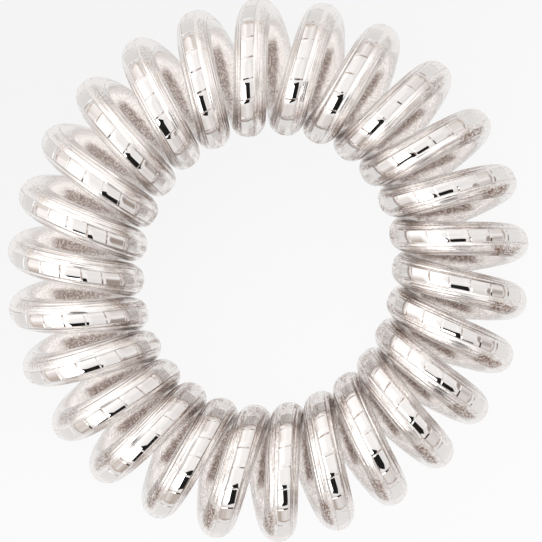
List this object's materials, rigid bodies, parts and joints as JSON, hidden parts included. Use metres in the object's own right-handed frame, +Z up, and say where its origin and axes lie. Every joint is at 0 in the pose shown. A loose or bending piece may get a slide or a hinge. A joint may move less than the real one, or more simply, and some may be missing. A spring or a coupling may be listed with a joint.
{
  "type": "spiral hair tie",
  "caption": "Closed ring of clear springy cord wound as a coil, stretched round a ponytail or bun of hair to hold it.",
  "frame": {"origin": "centre of the ring's footprint, on the surface that the ring lies on", "axes": "+Z up through the ring's opening, +Y towards the top of the ring as seen from above, near its longer way across, +X to the right"},
  "size_m": [0.0547, 0.0572, 0.0145],
  "materials": {
    "clear_tpu": "clear polyurethane elastomer, glossy as extruded, matt where the coil's inner side lay on the winding mandrel"
  },
  "bodies": {
    "root": {"coil_ring": "clear_tpu"}
  },
  "joints": []
}
